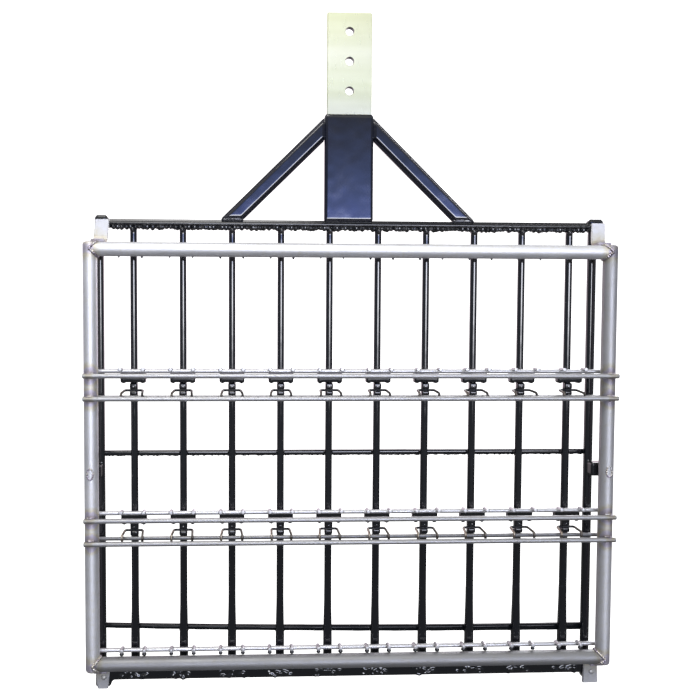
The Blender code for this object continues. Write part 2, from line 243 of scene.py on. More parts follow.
def coating_material(name, deep, light, shine):
    """Plastisol: dark, thick and glossy, with a faint orange peel and slow waves."""
    made, tree, shader = start_material(name)
    place = object_place(tree)
    cloud = noise_of(tree, place, 14.0)
    fine = noise_of(tree, place, 420.0, 2.0)
    waves = noise_of(tree, place, 55.0, 2.0)
    peel = remap(tree, fine, 0, 1, 0, 0.25)
    height = combine(tree, "ADD", peel, waves)
    finish = {
        "Base Color": mix(tree, cloud, deep, light),
        "Roughness": remap(tree, waves, 0.3, 0.7, *GLOSS),
        "IOR": PLASTISOL_IOR,
        "Specular IOR Level": shine,
        "Coat Weight": shine,
        "Coat Roughness": 0.04,
        "Normal": bump(tree, height, 0.20, 0.2 * MM),
    }
    feed(tree, shader, finish)
    return made


def nearest_weld(tree, place, welds):
    """The distance from a point to the nearest of the weld points, in metres."""
    nearest = None
    for weld in welds:
        reach = compare(tree, "DISTANCE", place, tuple(weld))
        nearest = reach if nearest is None else combine(tree, "MINIMUM", nearest, reach)
    return nearest


STEEL_CLOUDS = ((0.86, 0.87, 0.91), (1.0, 1.0, 1.03))

# Heat tint from a weld (0) out to plain steel (1): grey, purple, straw
HEAT_TINT = (
    (0.00, (0.42, 0.37, 0.34)),
    (0.24, (0.50, 0.44, 0.40)),
    (0.40, (0.60, 0.55, 0.62)),
    (0.55, (0.74, 0.70, 0.76)),
    (0.68, (0.86, 0.80, 0.64)),
    (0.82, (0.93, 0.91, 0.82)),
    (1.00, (1.0, 1.0, 1.0)),
)


def steel_material(name, painted_shade_greys, welds, reach, along, satin=(0.50, 0.60)):
    """Satin stainless: lines drawn out as `along` says, clouds, and heat tint round its welds
    as far as `reach`. Its grey is painted light and shade: it runs with height from the first of the two given
    greys, at the bottom tube, to the second, at the top one."""
    made, tree, shader = start_material(name)
    place = object_place(tree)
    cloud = noise_of(tree, place, 26.0, 4.0)
    lines = noise_of(tree, stretched(tree, place, along), 700.0, 2.0)
    spots = noise_of(tree, place, 160.0, 3.0, 0.7)
    # Painted light and shade: the base grey runs with height between the two given greys
    rise = remap(tree, height_of(tree, place), bottom_z, top_z, 0.0, 1.0)
    painted_shade = mix(tree, rise, grey(painted_shade_greys[0]), grey(painted_shade_greys[1]))
    tinted = mix(tree, cloud, *STEEL_CLOUDS)
    colour = mix(tree, 1.0, painted_shade, tinted, "MULTIPLY")
    if welds:
        wander = remap(tree, spots, 0.2, 0.8, -0.16, 0.16)
        far = remap(tree, nearest_weld(tree, place, welds), 0.0, reach, 0.0, 1.0)
        tint = ramp(tree, combine(tree, "ADD", far, wander), HEAT_TINT)
        colour = mix(tree, 1.0, colour, tint, "MULTIPLY")
    finish = {
        "Base Color": colour,
        "Metallic": 0.85,
        "Roughness": remap(tree, cloud, 0.3, 0.7, *satin),
        "Normal": bump(tree, mix(tree, 0.5, lines, spots), 0.22, 0.12 * MM),
    }
    feed(tree, shader, finish)
    return made


# The strap's tint, from the edge of its coating (0) to its top end (1)
STRAP_TINTS = (
    (0.0, (0.42, 0.42, 0.31)),
    (0.30, (0.55, 0.57, 0.36)),
    (0.60, (0.66, 0.67, 0.49)),
    (0.75, (0.63, 0.65, 0.44)),
    (1.0, (0.63, 0.65, 0.42)),
)
STRAP_PALE = (0.95, 0.95, 0.84)
STRAP_STREAK = (0.55, 0.55, 0.48)
# The painted shade inside the bolt holes
BORE_SHADE_TONE = (0.10, 0.10, 0.11)


def strap_material():
    """Bare tinned strap: pale, warm, brushed, greyer near the coating, with painted shade in its bores."""
    made, tree, shader = start_material("tinned_strap_metal")
    place = object_place(tree)
    drawn = noise_of(tree, stretched(tree, place, (6, 1, 90)), 9.0, 3.0)
    brushed = noise_of(tree, stretched(tree, place, (900, 1, 30)), 1.0, 3.0)
    bands = noise_of(tree, stretched(tree, place, (1.5, 1, 14)), 3.2, 2.0)
    rise = remap(tree, height_of(tree, place), sleeve_high.z, strap_high.z, 0.0, 1.0)
    base = ramp(tree, rise, STRAP_TINTS)
    colour = mix(tree, remap(tree, bands, 0.3, 0.7, 0.0, 0.25), base, STRAP_PALE)
    colour = mix(tree, remap(tree, drawn, 0.4, 0.8, 0.0, 0.12), colour, STRAP_STREAK)
    # Painted shade: the walls of the bolt holes are darkened as if in shadow
    wall = add(tree, "ShaderNodeAttribute", attribute_name="bore_shade").outputs["Fac"]
    colour = mix(tree, wall, colour, BORE_SHADE_TONE)
    finish = {
        "Base Color": colour,
        "Metallic": 0.92,
        "Roughness": remap(tree, brushed, 0.3, 0.7, 0.27, 0.30),
        "Normal": bump(tree, mix(tree, 0.7, brushed, drawn), 0.05, 0.1 * MM),
    }
    feed(tree, shader, finish)
    return made


WIRE_BLACK = (0.010, 0.011, 0.014)
BRONZE_TONES = ((0.42, 0.32, 0.24), (0.78, 0.72, 0.62))


def wire_material():
    """Spring wire: black coating, worn to bare bronze where the wear attribute says."""
    made, tree, shader = start_material("contact_wire_finish")
    place = object_place(tree)
    worn = noise_of(tree, place, 330.0, 3.0)
    wear = add(tree, "ShaderNodeAttribute", attribute_name="wear").outputs["Fac"]
    scuffs = remap(tree, worn, 0.30, 0.45, 0.4, 1.0)
    bare = combine(tree, "MULTIPLY", wear, scuffs)
    bronze = mix(tree, worn, *BRONZE_TONES)
    finish = {
        "Base Color": mix(tree, bare, WIRE_BLACK, bronze),
        "Metallic": bare,
        "Roughness": remap(tree, worn, 0.2, 0.8, 0.22, 0.45),
        "Specular IOR Level": 0.3,
        "Normal": bump(tree, worn, 0.25, 0.1 * MM),
    }
    feed(tree, shader, finish)
    return made


OXIDE_TINTS = (
    (0.30, (0.34, 0.30, 0.30)),
    (0.45, (0.52, 0.47, 0.58)),
    (0.55, (0.58, 0.54, 0.47)),
    (0.70, (0.70, 0.69, 0.70)),
)


def weld_material():
    """Weld metal: rippled, grey, with purple and straw oxide."""
    made, tree, shader = start_material("weld_metal")
    place = object_place(tree)
    patches = noise_of(tree, place, 190.0, 2.0)
    grain = noise_of(tree, place, 900.0, 2.0)
    finish = {
        "Base Color": ramp(tree, patches, OXIDE_TINTS),
        "Metallic": 1.0,
        "Roughness": remap(tree, grain, 0.2, 0.8, 0.22, 0.50),
        "Normal": bump(tree, grain, 0.35, 0.2 * MM),
    }
    feed(tree, shader, finish)
    return made


# -------- mesh helpers

X, Z = Vector((1, 0, 0)), Vector((0, 0, 1))

# The unevenness of coatings and rods, in ripples per metre
SKIN_RIPPLES = 90
ROD_RIPPLES = 70

# How finely round ends, wires and their bends are cut
DOME_RINGS = 4
WIRE_FACES = 12
BEND_STEPS = 5


def place_object(name, data):
    """A new object in the scene."""
    made = bpy.data.objects.new(name, data)
    bpy.context.scene.collection.objects.link(made)
    return made


def make_object(name, mesh, material, replaced=(), body=RACK):
    """A piece of the rack, riding on a body; `replaced` are the CAD nodes it stands for."""
    mesh.materials.clear()
    mesh.materials.append(material)
    made = place_object(name, mesh)
    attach(made, body)
    if replaced:
        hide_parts(*replaced)


def mesh_from(shape, name):
    """A mesh of a shape, which is freed."""
    bmesh.ops.recalc_face_normals(shape, faces=shape.faces)
    mesh = bpy.data.meshes.new(name)
    shape.to_mesh(mesh)
    shape.free()
    return mesh


def smooth_mesh(shape, name, angle=40):
    """A smooth-shaded mesh that keeps edges sharper than the angle, in degrees."""
    mesh = mesh_from(shape, name)
    mesh.shade_smooth()
    mesh.set_sharp_from_angle(angle=math.radians(angle))
    return mesh


def evaluated(mesh, modifiers):
    """A new mesh: the given one after some modifiers, each a (type, settings) pair."""
    holder = place_object("holder", mesh)
    for kind, settings in modifiers:
        step = holder.modifiers.new(kind.lower(), kind)
        for name, value in settings.items():
            setattr(step, name, value)
    graph = bpy.context.evaluated_depsgraph_get()
    result = bpy.data.meshes.new_from_object(holder.evaluated_get(graph))
    bpy.data.objects.remove(holder)
    return result


def dipped(shape, name, voxel, rounds, wave=0.12 * MM, grow=0.50 * MM, sag=0.0, turn=Matrix()):
    """The shapes under one soft skin, made of cubes of side `voxel` and softened in `rounds`.
    `grow` gives back what the softening took, and `wave` is how deep the skin's hollows go.
    `sag` thickens the skin with the depth below the top rail, by a share of that depth.
    `turn` lays a slanting part square to the cubes while its skin is made."""
    skin = ("REMESH", {"mode": "VOXEL", "voxel_size": voxel})
    soften = ("SMOOTH", {"factor": 0.5, "iterations": rounds})
    raw = mesh_from(shape, name)
    raw.transform(turn)
    mesh = evaluated(raw, (skin, soften))
    mesh.transform(turn.inverted())
    normals = [vert.normal.copy() for vert in mesh.vertices]
    for vert, normal in zip(mesh.vertices, normals):
        sunk = wave * (1 + noise.noise(vert.co * SKIN_RIPPLES)) / 2
        depth = max(0.0, rail_low.z - vert.co.z)
        moved = vert.co + normal * (grow + sag * depth - sunk)
        vert.co = [min(max(moved[k], cad_box[0][k]), cad_box[1][k]) for k in range(3)]
    mesh.shade_smooth()
    return mesh


def round_edges(shape, lines, edge, segments):
    bmesh.ops.bevel(shape, geom=list(lines), offset=edge, segments=segments, affect="EDGES")


def add_block(shape, low, high, edge, segments=3):
    """A block between two corners, with its edges rounded."""
    low, high = Vector(low), Vector(high)
    place = Matrix.Translation((low + high) / 2) @ Matrix.Diagonal((*(high - low), 1))
    corners = bmesh.ops.create_cube(shape, size=1, matrix=place)["verts"]
    lines = {line for corner in corners for line in corner.link_edges}
    round_edges(shape, lines, edge, segments)


def add_prism(shape, outline, offset, edge, segments):
    """A flat outline of points pushed along `offset`, with its edges rounded."""
    face = shape.faces.new([shape.verts.new(point) for point in outline])
    grown = bmesh.ops.extrude_face_region(shape, geom=[face])["geom"]
    verts = [item for item in grown if isinstance(item, bmesh.types.BMVert)]
    bmesh.ops.translate(shape, verts=verts, vec=offset)
    lines = {line for vert in verts for line in vert.link_edges} | set(face.edges)
    round_edges(shape, lines, edge, segments)


def add_bead(shape, centre, size, stretch=(1, 1, 1), fine=2):
    """A small round lump, such as one ripple of a weld or a drop of coating."""
    place = Matrix.Translation(centre) @ Matrix.Diagonal((*stretch, 1))
    bmesh.ops.create_icosphere(shape, subdivisions=fine, radius=size, matrix=place)


def circle(centre, across, up, radius, sides):
    """A ring of points about a centre, in the plane of two directions."""
    points = []
    for index in range(sides):
        turn = 2 * math.pi * index / sides
        offset = across * math.cos(turn) + up * math.sin(turn)
        points.append(centre + offset * radius)
    return points


def add_skin(shape, rings):
    """A closed skin over equal rings of points, with a fan of faces at each end."""
    rows = [[shape.verts.new(point) for point in ring] for ring in rings]
    count = len(rows[0])
    for row, following in zip(rows, rows[1:]):
        for index in range(count):
            beside = (index + 1) % count
            shape.faces.new((row[index], row[beside], following[beside], following[index]))
    for row in (rows[0], rows[-1]):
        hub = shape.verts.new(sum((vert.co for vert in row), Vector()) / count)
        for index in range(count):
            shape.faces.new((row[index], row[(index + 1) % count], hub))


def add_rod(shape, start, end, radius, sides, dome, step=None, wave=0.0):
    """A round rod with its ends rounded off over `dome`. With `step` it has a ring of points
    at each step, and `wave` is the share of its radius that it loses here and there."""
    start, end = Vector(start), Vector(end)
    length = (end - start).length
    along = (end - start).normalized()
    across = along.orthogonal().normalized()
    up = along.cross(across)
    turns = [math.pi / 2 * part / DOME_RINGS for part in range(1, DOME_RINGS + 1)]
    cap = []
    for turn in reversed(turns):
        cap.append((dome * (1 - math.sin(turn)), radius - dome * (1 - math.cos(turn))))
    inner = []
    if step:
        count = max(1, round((length - 2 * dome) / step))
        inner = [(dome + (length - 2 * dome) * k / count, radius) for k in range(1, count)]
    cap.append((dome, radius))
    profile = cap + inner + [(length - place, rim) for place, rim in reversed(cap)]
    rings = []
    for place, rim in profile:
        centre = start + along * place
        rim = rim * (1 - wave * (1 + noise.noise(centre * ROD_RIPPLES)) / 2)
        rings.append(circle(centre, across, up, rim, sides))
    add_skin(shape, rings)


def add_wire(shape, path, radius):
    """A round wire along a list of points, with flat ends."""
    rings = []
    across = (path[1] - path[0]).orthogonal().normalized()
    for index, point in enumerate(path):
        before = path[max(index - 1, 0)]
        after = path[min(index + 1, len(path) - 1)]
        along = (after - before).normalized()
        across = (across - along * across.dot(along)).normalized()
        rings.append(circle(point, across, along.cross(across), radius, WIRE_FACES))
    add_skin(shape, rings)


def rounded_path(corners, radius):
    """The corners joined by straight runs, with each inner corner turned on a curve."""
    path = [corners[0]]
    for before, corner, after in zip(corners, corners[1:], corners[2:]):
        start = corner + (before - corner).normalized() * radius
        end = corner + (after - corner).normalized() * radius
        for step in range(BEND_STEPS + 1):
            share = step / BEND_STEPS
            first = start.lerp(corner, share)
            path.append(first.lerp(corner.lerp(end, share), share))
    path.append(corners[-1])
    return path


def copy_node(shape, node):
    """Adds a copy of a CAD node's mesh to a shape."""
    shape.from_mesh(frame["nodes"][node].data)


# -------- the coated frame

# The skins of the coating: the cubes they are made of, how deep their hollows go, and how far
# the skins of bars and braces grow back
CROWN_VOXEL, CROWN_WAVE = 0.85 * MM, 0.10 * MM
FOOT_VOXEL, FOOT_WAVE = 1.0 * MM, 0.2 * MM
BAR_VOXEL = 0.8 * MM
BAR_GROWTH = 0.7 * MM
BRACE_GROWTH = 0.6 * MM

# The parts under them: rounded edges, and how far a part runs on inside its neighbour
RAIL_EDGE = 3.2 * MM
EAR_EDGE = 1.6 * MM
BRACE_EDGE = 2.8 * MM
SPINE_EDGE = 1.5 * MM
EAR_OVERLAP = 4 * MM
BRACE_SINK = 1 * MM
SPINE_SINK = 0.6 * MM

# How far from its ends the top rail's drips start
EAR_CLEAR = 20 * MM


def add_drips(shape, low_x, high_x, y, z, size, draw, pace=2.6):
    """A ragged row of hanging drops along the underside of a rail."""
    x = low_x
    while x < high_x:
        swell = draw.uniform(0.55, 1.0)
        add_bead(shape, (x, y, z + size * 0.25), size * swell, (1.25, 1.2, 0.6 + swell))
        x += size * pace * draw.uniform(0.55, 1.2)


def add_seam(shape, start, end, size, count):
    """A fillet of coating along a seam between two parts."""
    start, end = Vector(start), Vector(end)
    for index in range(count + 1):
        add_bead(shape, start.lerp(end, index / count), size, fine=1)


def make_coated_part(shape, node, material, *skin, **settings):
    """A coated part in place of its CAD node; the rest is what `dipped` takes."""
    name = f"coated_{node}"
    mesh = dipped(shape, name, *skin, **settings)
    make_object(name, mesh, material, (node,))


def add_top_rail(shape):
    """The rail between the two ears, nearly round under its coating."""
    left, right = rail_low.x + TOP_EARS[0], rail_high.x - TOP_EARS[1]
    run_low = (left - EAR_OVERLAP, rail_low.y, top_rail_base)
    run_high = (right + EAR_OVERLAP, rail_high.y, sleeve_low.z)
    add_block(shape, run_low, run_high, RAIL_EDGE, 4)
    add_block(shape, rail_low, (left, rail_high.y, rail_high.z), EAR_EDGE)
    add_block(shape, (right, rail_low.y, rail_low.z), rail_high, EAR_EDGE)


def make_brace(side, material):
    """One slanting brace, thickly rounded, with the fillets that join it to spine and rail.
    The left brace mirrors the right one."""
    low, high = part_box("gusset_right")
    inner_x = low.x - BRACE_SINK
    outline = [
        (side * inner_x, low.y, high.z),
        (side * high.x, low.y, low.z),
        (side * GUSSET_INNER, low.y, low.z),
        (side * inner_x, low.y, high.z - GUSSET_RISE),
    ]
    shape = bmesh.new()
    add_prism(shape, outline, (0, high.y - low.y, 0), BRACE_EDGE, 4)
    seam_x = side * (low.x - 0.2 * MM)
    foot_z = low.z + 0.2 * MM
    for y in (low.y + 2.4 * MM, high.y - 2.4 * MM, core_y):
        top = (seam_x, y, high.z - 3 * MM)
        add_seam(shape, top, (seam_x, y, high.z - GUSSET_RISE + 1 * MM), 1.2 * MM, 20)
        foot = (side * (high.x - 3 * MM), y, foot_z)
        add_seam(shape, (side * GUSSET_INNER, y, foot_z), foot, 1.5 * MM, 20)
    slope = math.atan2(high.z - low.z, high.x - inner_x)
    turn = Matrix.Rotation(-side * slope, 4, "Y")
    name = "left" if side < 0 else "right"
    coated_name = f"coated_brace_{name}"
    mesh = dipped(shape, coated_name, CROWN_VOXEL, 5, CROWN_WAVE, BRACE_GROWTH, turn=turn)
    make_object(coated_name, mesh, material, (f"gusset_{name}",))


def make_crown(material):
    """The coating over the spine, and the two braces beside it."""
    shape = bmesh.new()
    add_block(shape, sleeve_low - Z * SPINE_SINK, sleeve_high, SPINE_EDGE)
    mesh = dipped(shape, "coated_spine", CROWN_VOXEL, 5, CROWN_WAVE)
    make_object("coated_spine", mesh, material, ("spine_sleeve",))
    for side in SIDES:
        make_brace(side, material)


def make_coated_top_rail(material):
    """The heavy rail under the crown, with two ragged rows of drops along its underside."""
    shape = bmesh.new()
    add_top_rail(shape)
    draw = random.Random(11)
    first_x, last_x = rail_low.x + EAR_CLEAR, rail_high.x - EAR_CLEAR
    for y in (core_y - 2.2 * MM, core_y + 1.5 * MM):
        add_drips(shape, first_x, last_x, y, top_rail_base, 2.1 * MM, draw)
    make_coated_part(shape, "top_rail", material, CROWN_VOXEL, 3, CROWN_WAVE)


# How far the flare of a bar's foot reaches above and below the lower rail
FLARE_RISE = 55 * MM
FLARE_FALL = 16 * MM
FLARE_FACES = 16

# How far forward the lumps and drops of the bars stand
LUMP_Y = -5.6 * MM
CROSSING_Y = -0.4 * MM
SHOE_DROP_Y = -10.5 * MM

BAR_SAG = 0.0008
SPLASHES = 14
THIN_RAILS = ("mid_rail", "lower_rail")


def squared_ring(centre, half_x, half_y):
    """A ring of points on a rounded square, level, about a centre."""
    points = []
    for index in range(FLARE_FACES):
        turn = 2 * math.pi * (index + 0.5) / FLARE_FACES
        across, forward = math.cos(turn), math.sin(turn)
        x = math.copysign(math.sqrt(abs(across)), across) * half_x
        y = math.copysign(math.sqrt(abs(forward)), forward) * half_y
        points.append(centre + Vector((x, y, 0)))
    return points


def add_flare(shape, x):
    """The slow widening of a bar as it comes down to its foot."""
    foot_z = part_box("lower_rail")[0].z
    rings = []
    for half_x, half_y, z in (
        (3.0 * MM, 3.0 * MM, foot_z + FLARE_RISE),
        (4.0 * MM, 3.9 * MM, foot_z),
        (4.0 * MM, 3.9 * MM, foot_z - FLARE_FALL),
    ):
        rings.append(squared_ring(Vector((x, core_y, z)), half_x, half_y))
    add_skin(shape, rings)


def rail_height(node, x):
    """The height of the middle or lower rail at a place along it."""
    z = middle(node, 2)
    if node == "lower_rail":
        low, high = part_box(node)
        z -= LOWER_RAIL_FALL * x / (high.x - low.x) + rail_sag(x)
    return z


def rail_sag(x):
    """How far the lower rail hangs below the straight line between its ends."""
    low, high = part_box("lower_rail")
    share = (2 * x - low.x - high.x) / (high.x - low.x)
    return LOWER_RAIL_SAG * (1 - share**2)


def add_bar_head(shape, x, top, draw):
    """The collar of pooled coating where a bar meets the top rail, and the lump before it."""
    collar = 4.0 * MM * draw.uniform(0.9, 1.15)
    add_bead(shape, (x, core_y, top - 0.4 * MM), collar, (1.0, 0.95, 0.75))
    lump = (x + draw.uniform(-1, 1) * MM, LUMP_Y, top - 1.8 * MM)
    add_bead(shape, lump, 2.8 * MM)


def add_crossing(shape, x, z, draw):
    """The lumps where a bar crosses a rail: one on each side of the bar and one round it."""
    for side in SIDES:
        beside, above = draw.uniform(1.8, 2.6) * MM, draw.uniform(-1, 1) * MM
        add_bead(shape, (x + side * beside, CROSSING_Y, z + above), 2.1 * MM, (1.2, 0.9, 1.1))
    add_bead(shape, (x, core_y + 0.6 * MM, z), 3.5 * MM, (1.0, 0.9, 1.3))


def add_shoe_drops(shape, x, level, draw):
    """The drop that hangs from each end of the shoe that holds a guide rod."""
    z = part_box(f"{level}_guide")[0].z - 9.0 * MM
    for side in SIDES:
        drop = (x + side * (PEG_SPREAD - 1.6 * MM), SHOE_DROP_Y, z)
        add_bead(shape, drop, draw.uniform(1.6, 2.3) * MM, (1, 1, 1.2))


def make_coated_bar(name, material, draw):
    """One upright bar with its shoes, wire seats and the lumps where it meets the rails."""
    x = bar_x[name]
    shape = bmesh.new()
    copy_node(shape, name)
    add_flare(shape, x)
    add_bar_head(shape, x, bar_boxes[name][1].z, draw)
    for node in THIN_RAILS:
        add_crossing(shape, x, rail_height(node, x), draw)
    for level in LEVELS:
        add_shoe_drops(shape, x, level, draw)
    make_coated_part(shape, name, material, BAR_VOXEL, 4, grow=BAR_GROWTH, sag=BAR_SAG)


def make_coated_side(name, material):
    """One side bar, with the lumps where the rails meet it and at its two ends."""
    shape = bmesh.new()
    copy_node(shape, name)
    low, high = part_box(name)
    x = low.x + SIDE_BAR_WIDTH / 2 if "right" in name else high.x - SIDE_BAR_WIDTH / 2
    for node in THIN_RAILS:
        z = rail_height(node, x)
        add_bead(shape, (x, core_y + 1 * MM, z), 4.0 * MM, (1, 1, 1.4))
        add_bead(shape, (x, 0.4 * MM, z), 2.6 * MM, (1.3, 1, 1.2))
    for z in (low.z + 0.4 * MM, high.z - 0.4 * MM):
        add_bead(shape, (x, core_y, z), 4.4 * MM, (1, 0.95, 0.7))
    make_coated_part(shape, name, material, BAR_VOXEL, 2)


def make_middle_rail(material, draw):
    """The thin rail half way down, with drops along its underside."""
    shape = bmesh.new()
    copy_node(shape, "mid_rail")
    low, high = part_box("mid_rail")
    clear = 9 * MM
    y = middle("mid_rail", 1)
    add_drips(shape, low.x + clear, high.x - clear, y, low.z, 1.2 * MM, draw)
    make_coated_part(shape, "mid_rail", material, BAR_VOXEL, 2)


def make_lower_rail(material):
    """The thin rail near the bottom, which sags between its ends."""
    shape = bmesh.new()
    copy_node(shape, "lower_rail")
    mesh = dipped(shape, "coated_lower_rail", BAR_VOXEL, 2)
    for vert in mesh.vertices:
        vert.co.z -= rail_sag(vert.co.x)
    make_object("coated_lower_rail", mesh, material, ("lower_rail",))


def add_splashes(shape, x, front, base, draw):
    """The cluster of lumps on the front of the bottom rail at the foot of a bar."""
    for _ in range(SPLASHES):
        aside, above = draw.uniform(-15, 15) * MM, draw.uniform(1, 9) * MM
        spot = (x + aside, front + 0.2 * MM, base + above)
        add_bead(shape, spot, draw.uniform(1.3, 2.3) * MM, (1.3, 1.0, 0.9))


def make_bottom_rail(material, draw):
    """The heavy rail at the bottom, lumpy in front where each bar ends, dripping below."""
    shape = bmesh.new()
    copy_node(shape, "bottom_rail")
    low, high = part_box("bottom_rail")
    base = low.z + BOTTOM_EAR_FALL
    clear = 24 * MM
    for x in bar_x.values():
        add_splashes(shape, x, low.y, base, draw)
        add_bead(shape, (x, core_y, high.z - 2.4 * MM), 5.5 * MM, (1.1, 0.8, 0.6))
    add_drips(shape, low.x + clear, high.x - clear, core_y, base, 1.5 * MM, draw, 3.4)
    make_coated_part(shape, "bottom_rail", material, FOOT_VOXEL, 2, wave=FOOT_WAVE)


BORE_FACES = 48
BEYOND = 2 * MM


def add_hole_cutter(shape, spot):
    """The solid that cuts one bolt hole, with a chamfer at each face of the strap."""
    front, back = strap_low.y, strap_high.y
    rim = HOLE_RADIUS + HOLE_CHAMFER
    profile = (
        (front - BEYOND, rim),
        (front, rim),
        (front + HOLE_CHAMFER, HOLE_RADIUS),
        (back - HOLE_CHAMFER, HOLE_RADIUS),
        (back, rim),
        (back + BEYOND, rim),
    )
    rings = []
    for y, radius in profile:
        rings.append(circle(Vector((spot.x, y, spot.z)), X, Z, radius, BORE_FACES))
    add_skin(shape, rings)


def make_strap(material):
    """The bare strap, with rounded corners and chamfered bolt holes."""
    shape = bmesh.new()
    add_block(shape, strap_low, strap_high, 0.9 * MM)
    plate = mesh_from(shape, "strap")
    shape = bmesh.new()
    for opening in frame["record"]["physics"]["openings"]:
        if opening["name"].startswith("bolt_hole"):
            add_hole_cutter(shape, hole_centre(opening))
    cutter = place_object("cutter", mesh_from(shape, "cutter"))
    cut = ("BOOLEAN", {"operation": "DIFFERENCE", "solver": "EXACT", "object": cutter})
    mesh = evaluated(plate, (cut,))
    bpy.data.objects.remove(cutter)
    mesh.shade_smooth()
    mesh.set_sharp_from_angle(angle=math.radians(30))
    store_bore_shade(mesh)
    make_object("tinned_strap", mesh, material, ("hanger_strap",))


def store_bore_shade(mesh):
    """Marks the walls of the bolt holes, where the strap's material paints shade."""
    bore_shade = mesh.attributes.new("bore_shade", "FLOAT", "FACE")
    half = (strap_high.x - strap_low.x) / 2
    for face, entry in zip(mesh.polygons, bore_shade.data):
        inner = abs(face.center.x) < half / 2 and abs(face.normal.y) < 0.9
        entry.value = 1.0 if inner and strap_low.y < face.center.y < strap_high.y else 0.0


def hole_centre(opening):
    """The middle of a hole, from the box that the record gives it."""
    low, high = (Vector(corner) for corner in opening["box_m"])
    return (low + high) / 2


# -------- the bright frame


def make_steel_part(shape, node, material, angle=40):
    """A bright part in place of its CAD node, with the edges sharper than the angle kept."""
    name = f"steel_{node}"
    make_object(name, smooth_mesh(shape, name, angle), material, (node,))


def peg_places():
    """Where the pegs of a guide rod stand: one on each side of each bar."""
    return [x + side * PEG_SPREAD for x in bar_x.values() for side in SIDES]


SADDLE_STEPS = 30
TUBE_FACES = 48
TUBE_WAVE = 0.012
ROD_FACES = 24
ROD_WAVE = 0.02
PEG_FACES = 16


def add_saddle(shape, x, side, z, size, draw):
    """A weld along the seam where a level tube meets an upright one."""
    for index in range(SADDLE_STEPS):
        turn = 2 * math.pi * index / SADDLE_STEPS
        y = math.sin(turn) * tube_radius
        reach = abs(math.cos(turn)) * tube_radius
        spot = (x - side * (reach + 0.4 * MM), tube_y + y, z + math.cos(turn) * tube_radius)
        add_bead(shape, spot, size * draw.uniform(0.8, 1.25))


def make_tubes(level_steel, lit_left_steel, shaded_right_steel):
    """The four tubes. The level ones run into the uprights."""
    left, right = side_x[-1], side_x[1]
    tubes = (
        ("top_tube", (left, tube_y, top_z), (right, tube_y, top_z), level_steel),
        ("bottom_tube", (left, tube_y, bottom_z), (right, tube_y, bottom_z), level_steel),
        ("side_tube_left", (left, tube_y, tube_base), (left, tube_y, tube_top), lit_left_steel),
        ("side_tube_right", (right, tube_y, tube_base), (right, tube_y, tube_top), shaded_right_steel),
    )
    for node, start, end, material in tubes:
        shape = bmesh.new()
        add_rod(shape, start, end, tube_radius, TUBE_FACES, 3 * MM, 8 * MM, TUBE_WAVE)
        make_steel_part(shape, node, material)


def make_corner_welds(material):
    """The welds that cover the seams between level and upright tubes."""
    draw = random.Random(3)
    for height, z in (("top", top_z), ("bottom", bottom_z)):
        for hand, side in (("left", -1), ("right", 1)):
            name = f"weld_{height}_{hand}"
            shape = bmesh.new()
            add_saddle(shape, side_x[side], side, z, 1.3 * MM, draw)
            mesh = dipped(shape, name, 0.35 * MM, 1, 0.05 * MM)
            make_object(name, mesh, material)


def make_rods(material):
    """The plain round rods, in front and behind."""
    for node in RODS:
        low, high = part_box(node)
        radius = min(high.z - low.z, high.y - low.y) / 2
        centre = (low + high) / 2
        start, end = (low.x, centre.y, centre.z), (high.x, centre.y, centre.z)
        shape = bmesh.new()
        add_rod(shape, start, end, radius, ROD_FACES, 0.9 * MM, 10 * MM, ROD_WAVE)
        make_steel_part(shape, node, material)


def add_peg(shape, x, back, front, z):
    """A short pin with a flattened head, pointing forward."""
    add_rod(shape, (x, back, z), (x, front, z), PEG_RADIUS, PEG_FACES, 0.5 * MM)
    add_bead(shape, (x, front + 1.1 * MM, z), 2.0 * MM, (1.45, 0.5, 1.0))


def make_guides(material):
    """The pegged rods: each peg is a short pin welded to the top of the rod."""
    for node in GUIDES:
        low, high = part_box(node)
        z = low.z + GUIDE_RADIUS
        y = high.y - GUIDE_RADIUS
        start, end = (low.x, y, z), (high.x, y, z)
        shape = bmesh.new()
        add_rod(shape, start, end, GUIDE_RADIUS, ROD_FACES, 0.7 * MM, 10 * MM)
        for x in peg_places():
            add_peg(shape, x, y + GUIDE_RADIUS / 2, low.y, high.z - PEG_RADIUS)
        make_steel_part(shape, node, material)


def tab_outline(back, front, near, meet, end, way):
    """The bent strap from the side, as (y, z) points: flat on the tube, round a bend to its
    upright leg. `way` is 1 where the leg stands up and -1 where it hangs down."""
    return [
        (back, end),
        (back, meet + way * 7 * MM),
        (back - 1.4 * MM, meet + way * 2.4 * MM),
        (back - 4.6 * MM, meet + way * 0.1 * MM),
        (near, meet),
        (near, meet + way * TAB_THICK),
        (front - 3.4 * MM, meet + way * 3.1 * MM),
        (front - 0.9 * MM, meet + way * 5.2 * MM),
        (front, meet + way * 9 * MM),
        (front, end),
    ]


def bent_x(node, x, centre, share):
    """Where a point of a tab's leg goes, `share` of the way along it: the tabs differ."""
    if node == "tab_top_left":
        return x + TAB_LEAN * share
    if node == "tab_bottom_left":
        return x + (centre - x) * TAB_TAPER * max(share - TAPER_START, 0)
    if node == "tab_bottom_right":
        return x + (x - centre) * TAB_FLARE * share
    return x


